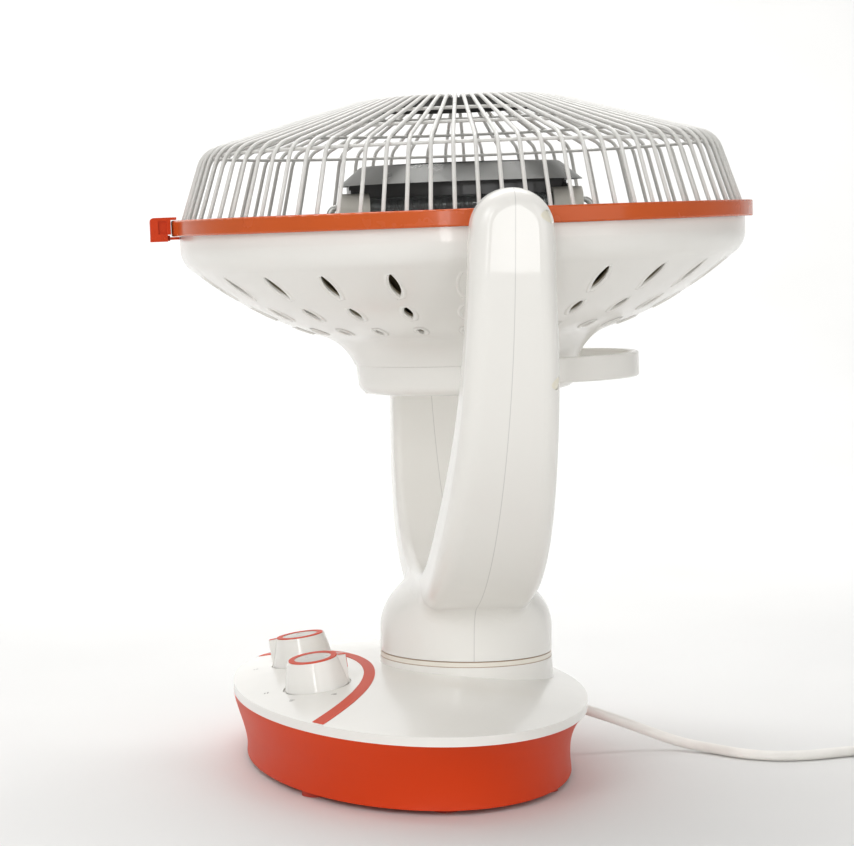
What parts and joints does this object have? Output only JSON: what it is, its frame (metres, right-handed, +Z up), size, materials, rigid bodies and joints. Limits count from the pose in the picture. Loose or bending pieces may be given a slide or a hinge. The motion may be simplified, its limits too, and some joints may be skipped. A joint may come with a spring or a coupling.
{
  "type": "carbon heater",
  "caption": "Table-top carbon heater: round dish head with a wire guard and clip latch, tilting in a two-armed yoke that swivels on a wide oval base with pointer knobs, a supply cord and plug.",
  "frame": {"origin": "on the table, under the swivel axis of the yoke", "axes": "+Z up, -Y to the heater's front, X across the base; the yoke rests swung 4.1 degrees and the head 2.1 degrees forward of straight up, as pictured"},
  "size_m": [0.4088, 0.5271, 0.4042],
  "materials": {
    "white_gloss": "glossy warm white moulding",
    "orange_gloss": "glossy red-orange moulding",
    "ring_paint": "glossy orange painted steel",
    "wire_grey": "light grey coated steel wire",
    "disc_grey": "dark grey painted sheet",
    "plain_steel": "zinc-plated steel",
    "dish_metal": "polished spun aluminium",
    "shield_metal": "dark polished sheet",
    "quartz": "clear quartz",
    "carbon": "black carbon strand",
    "ceramic": "white ceramic",
    "foot_rubber": "red-orange rubber",
    "cord_jacket": "off-white cord jacket",
    "plug_white": "off-white moulded plug",
    "pin_brass": "plated brass pins",
    "knob_grey": "warm grey disc",
    "dark_plastic": "black switch housing",
    "slip_cream": "cream slip ring",
    "tie_black": "black cord tie"
  },
  "bodies": {
    "base": {"base_tub": "orange_gloss", "base_top_cover": "white_gloss", "crescent_trim": "orange_gloss", "rubber_feet": "foot_rubber", "base_screws": "plain_steel", "ballast_plate": "plain_steel", "heat_switch": "dark_plastic", "timer_switch": "dark_plastic", "tip_over_switch": "dark_plastic", "slip_ring": "slip_cream", "spindle_bush": "slip_cream", "cord_bushing": "orange_gloss", "power_cord": "cord_jacket", "cord_coil": "cord_jacket", "coil_tie": "tie_black", "power_plug": "plug_white", "plug_pins": "pin_brass"},
    "yoke": {"yoke_front_shell": "white_gloss", "yoke_rear_shell": "white_gloss", "yoke_screws": "plain_steel", "swivel_spindle": "plain_steel", "spindle_washer": "plain_steel", "spindle_clip": "plain_steel", "pivot_washers": "slip_cream"},
    "head": {"head_shell": "white_gloss", "rear_cap": "white_gloss", "rear_cap_screws": "plain_steel", "carry_handle": "white_gloss", "rim_ring": "ring_paint", "pivot_pins": "plain_steel", "guard_wires": "wire_grey", "guard_hoops": "wire_grey", "guard_disc": "disc_grey", "latch_lug": "orange_gloss", "latch_pin": "plain_steel", "reflector_dish": "dish_metal", "heat_shield": "shield_metal", "shield_bracket": "plain_steel", "quartz_tube": "quartz", "carbon_spiral": "carbon", "ceramic_holders": "ceramic", "element_leads": "plain_steel", "terminal_block": "ceramic", "thermal_cutout": "dark_plastic"},
    "latch": {"guard_latch": "orange_gloss"},
    "heat_dial": {"heat_knob": "white_gloss", "heat_knob_ring": "orange_gloss", "heat_knob_disc": "knob_grey", "heat_shaft": "plain_steel"},
    "timer_dial": {"timer_knob": "white_gloss", "timer_knob_ring": "orange_gloss", "timer_knob_disc": "knob_grey", "timer_shaft": "plain_steel"}
  },
  "joints": [
    {"name": "yoke_swing", "type": "hinge", "parent": "base", "child": "yoke", "pos_m": [0, 0, 0.0672], "axis": [0, 0, 1], "range_deg": [-35.9, 44.1]},
    {"name": "head_tilt", "type": "hinge", "parent": "yoke", "child": "head", "pos_m": [-0.00018, -0.00249, 0.3136], "axis": [0.9974, -0.0715, 0], "range_deg": [-2, 93]},
    {"name": "latch_open", "type": "hinge", "parent": "head", "child": "latch", "pos_m": [-0.01302, -0.1817, 0.31736], "axis": [0.9974, -0.0715, 0], "range_deg": [0, 60]},
    {"name": "heat_knob_turn", "type": "hinge", "parent": "base", "child": "heat_dial", "pos_m": [0.041, -0.0987, 0.05478], "axis": [0.0381, -0.1571, 0.9869], "range_deg": [-180, 0]},
    {"name": "timer_knob_turn", "type": "hinge", "parent": "base", "child": "timer_dial", "pos_m": [-0.041, -0.0943, 0.05546], "axis": [-0.0381, -0.1462, 0.9885], "range_deg": [-270, 0]}
  ]
}
